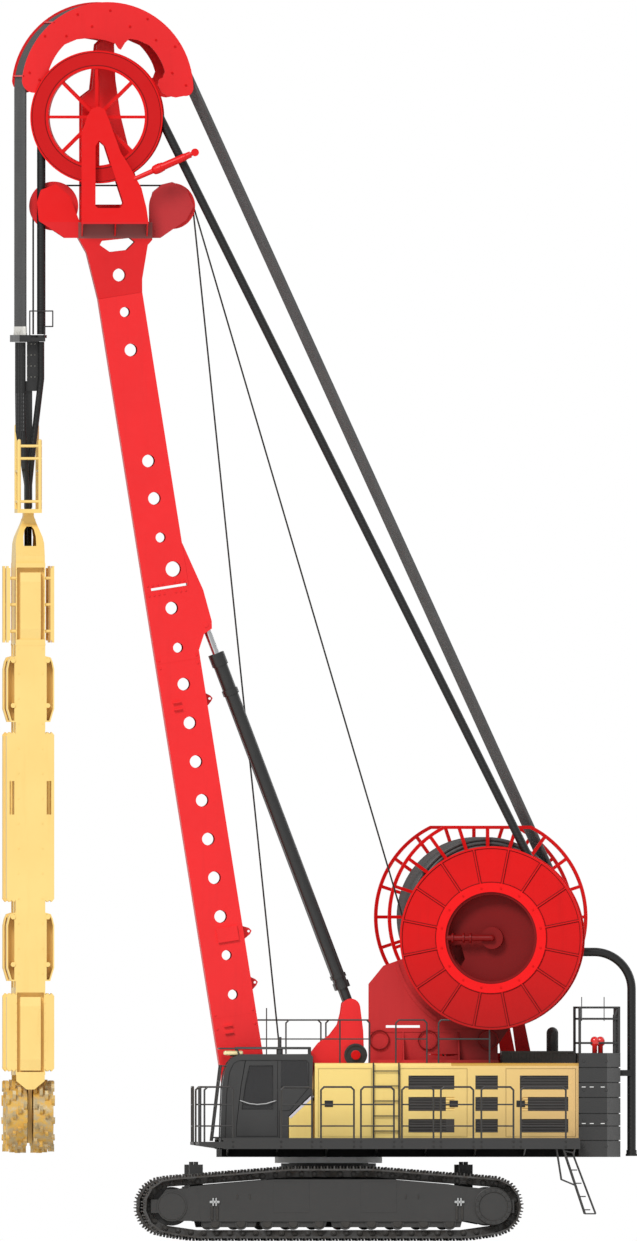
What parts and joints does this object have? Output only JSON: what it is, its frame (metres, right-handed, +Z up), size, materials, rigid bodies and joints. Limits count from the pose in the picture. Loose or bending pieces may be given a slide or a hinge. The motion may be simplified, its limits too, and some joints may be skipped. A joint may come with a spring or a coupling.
{
  "type": "trench cutter",
  "caption": "Crawler-mounted diaphragm wall machine: leaning box mast, hose reels and a tall twin-wheel trench cutter hung from the mast head.",
  "frame": {"origin": "on the ground under the slewing centre", "axes": "+X to the rear (counterweight), -X to the cutter, -Y to the cab side, +Z up"},
  "size_m": [12.645, 5.0149, 24.7798],
  "materials": {
    "track_steel": "worn cast steel shoes",
    "chassis_grey": "satin dark grey paint",
    "bearing_steel": "light grey paint",
    "house_yellow": "satin yellow paint",
    "glass": "dark tinted glass",
    "seat_fabric": "dark grey cloth",
    "mast_red": "gloss red paint",
    "cylinder_black": "satin black paint",
    "chrome_rod": "polished hard chrome",
    "hose_rubber": "ribbed grey rubber",
    "wire_rope": "greased steel wire rope",
    "cutter_yellow": "satin yellow paint",
    "tooth_steel": "bare steel with yellow paint"
  },
  "bodies": {
    "undercarriage": {"carbody": "chassis_grey", "track_frame_left": "chassis_grey", "track_frame_right": "chassis_grey", "track_left": "track_steel", "track_right": "track_steel"},
    "upper": {"slew_ring": "bearing_steel", "main_frame": "chassis_grey", "luff_brackets": "mast_red", "house_left": "house_yellow", "house_right": "house_yellow", "cab_floor": "chassis_grey", "cab_side_walls": "chassis_grey", "cab_end_walls": "chassis_grey", "cab_guards": "chassis_grey", "cab_glass": "glass", "operator_seat": "seat_fabric", "walkway_left": "chassis_grey", "walkway_right": "chassis_grey", "walkway_rails_left": "chassis_grey", "walkway_rails_right": "chassis_grey", "counterweight": "chassis_grey", "engine_hood": "chassis_grey", "engine_block": "bearing_steel", "roof_rails": "chassis_grey", "ladders": "chassis_grey", "discharge_hose": "hose_rubber", "winch_frames": "chassis_grey", "reel_stands": "mast_red", "hose_runs": "hose_rubber", "rope_runs": "wire_rope"},
    "cab_door": {"cab_door": "chassis_grey"},
    "house_door_front": {"house_door_front": "house_yellow"},
    "house_door_middle": {"house_door_middle": "house_yellow"},
    "house_door_rear": {"house_door_rear": "house_yellow"},
    "winch_front": {"winch_drum_front": "bearing_steel"},
    "winch_rear": {"winch_drum_rear": "bearing_steel"},
    "mud_reel": {"mud_hose_reel": "mast_red", "mud_hose_pack": "hose_rubber"},
    "hydraulic_reel": {"hydraulic_hose_reel": "mast_red", "hydraulic_hose_pack": "hose_rubber"},
    "mast": {"mast_lower": "mast_red", "mast_upper": "mast_red", "mast_head": "mast_red", "hose_guide_arc": "mast_red"},
    "mud_wheel": {"mud_hose_wheel": "mast_red"},
    "front_sheave": {"front_rope_sheave": "mast_red"},
    "rear_sheave": {"rear_rope_sheave": "mast_red"},
    "luff_barrel": {"luff_barrels": "cylinder_black"},
    "luff_rod": {"luff_rods": "chrome_rod"},
    "hanger": {"hose_drops": "hose_rubber", "rope_drops": "wire_rope"},
    "cutter": {"cutter_manifold": "cylinder_black", "cutter_hoses": "hose_rubber", "cutter_frame": "cutter_yellow", "cutter_guides": "cutter_yellow"},
    "cutter_wheel_left": {"cutter_wheel_left": "tooth_steel"},
    "cutter_wheel_right": {"cutter_wheel_right": "tooth_steel"}
  },
  "joints": [
    {"name": "slew", "type": "hinge", "parent": "undercarriage", "child": "upper", "pos_m": [0, 0, 1.62], "axis": [0, 0, 1], "continuous": true},
    {"name": "mast_luff", "type": "hinge", "parent": "upper", "child": "mast", "pos_m": [-1.553, 0, 2.32], "axis": [0, -1, 0], "range_deg": [0, 8], "deforming": ["hose_runs", "rope_runs"]},
    {"name": "luff_cylinder_swing", "type": "hinge", "parent": "upper", "child": "luff_barrel", "pos_m": [0.43, 0, 4.66], "axis": [0, -1, 0], "range_deg": [0, 9.26]},
    {"name": "luff_rod_slide", "type": "slide", "parent": "luff_barrel", "child": "luff_rod", "axis": [-0.3541, 0, 0.9352], "range_m": [0, 0.3918]},
    {"name": "cutter_plumb", "type": "hinge", "parent": "mast", "child": "hanger", "pos_m": [-5.91, 0, 20.7], "axis": [0, 1, 0], "range_deg": [0, 8.05]},
    {"name": "cutter_hoist", "type": "slide", "parent": "hanger", "child": "cutter", "axis": [0, 0, 1], "range_m": [-1.6, 1], "deforming": ["hose_drops", "rope_drops"]},
    {"name": "cutter_wheel_left_spin", "type": "hinge", "parent": "cutter", "child": "cutter_wheel_left", "pos_m": [-6.01, -0.742, 2.5], "axis": [1, 0, 0], "continuous": true},
    {"name": "cutter_wheel_right_spin", "type": "hinge", "parent": "cutter", "child": "cutter_wheel_right", "pos_m": [-6.01, 0.742, 2.5], "axis": [1, 0, 0], "continuous": true},
    {"name": "mud_reel_spin", "type": "hinge", "parent": "upper", "child": "mud_reel", "pos_m": [3.23, -1.35, 6.06], "axis": [0.126, 0.992, 0], "continuous": true},
    {"name": "hydraulic_reel_spin", "type": "hinge", "parent": "upper", "child": "hydraulic_reel", "pos_m": [3.1, 1.5, 6.48], "axis": [-0.1495, 0.9888, 0], "continuous": true},
    {"name": "mud_wheel_spin", "type": "hinge", "parent": "mast", "child": "mud_wheel", "pos_m": [-4.64, -0.35, 22.48], "axis": [0.126, 0.992, 0], "continuous": true},
    {"name": "front_sheave_spin", "type": "hinge", "parent": "mast", "child": "front_sheave", "pos_m": [-5.5, 0, 20.7], "axis": [0, 1, 0], "continuous": true},
    {"name": "rear_sheave_spin", "type": "hinge", "parent": "mast", "child": "rear_sheave", "pos_m": [-3.13, 0, 20.7], "axis": [0, 1, 0], "continuous": true},
    {"name": "winch_front_spin", "type": "hinge", "parent": "upper", "child": "winch_front", "pos_m": [-0.62, 0, 2.75], "axis": [0, 1, 0], "continuous": true},
    {"name": "winch_rear_spin", "type": "hinge", "parent": "upper", "child": "winch_rear", "pos_m": [2.25, 0, 3], "axis": [0, 1, 0], "continuous": true},
    {"name": "cab_door_swing", "type": "hinge", "parent": "upper", "child": "cab_door", "pos_m": [-1.074, -1.552, 2.8], "axis": [0, 0, 1], "range_deg": [0, 90]},
    {"name": "house_door_front_swing", "type": "hinge", "parent": "upper", "child": "house_door_front", "pos_m": [0.81, -1.552, 2.8], "axis": [0, 0, 1], "range_deg": [0, 50]},
    {"name": "house_door_middle_swing", "type": "hinge", "parent": "upper", "child": "house_door_middle", "pos_m": [1.378, -1.552, 2.8], "axis": [0, 0, -1], "range_deg": [0, 37]},
    {"name": "house_door_rear_swing", "type": "hinge", "parent": "upper", "child": "house_door_rear", "pos_m": [4.891, -1.552, 2.8], "axis": [0, 0, 1], "range_deg": [0, 36]}
  ],
  "couplings": [
    {"joint": "luff_cylinder_swing", "follows": "mast_luff", "ratio": 1.1509},
    {"joint": "luff_rod_slide", "follows": "mast_luff", "m_per_rad": 2.7916},
    {"joint": "cutter_plumb", "follows": "mast_luff", "ratio": 1}
  ]
}
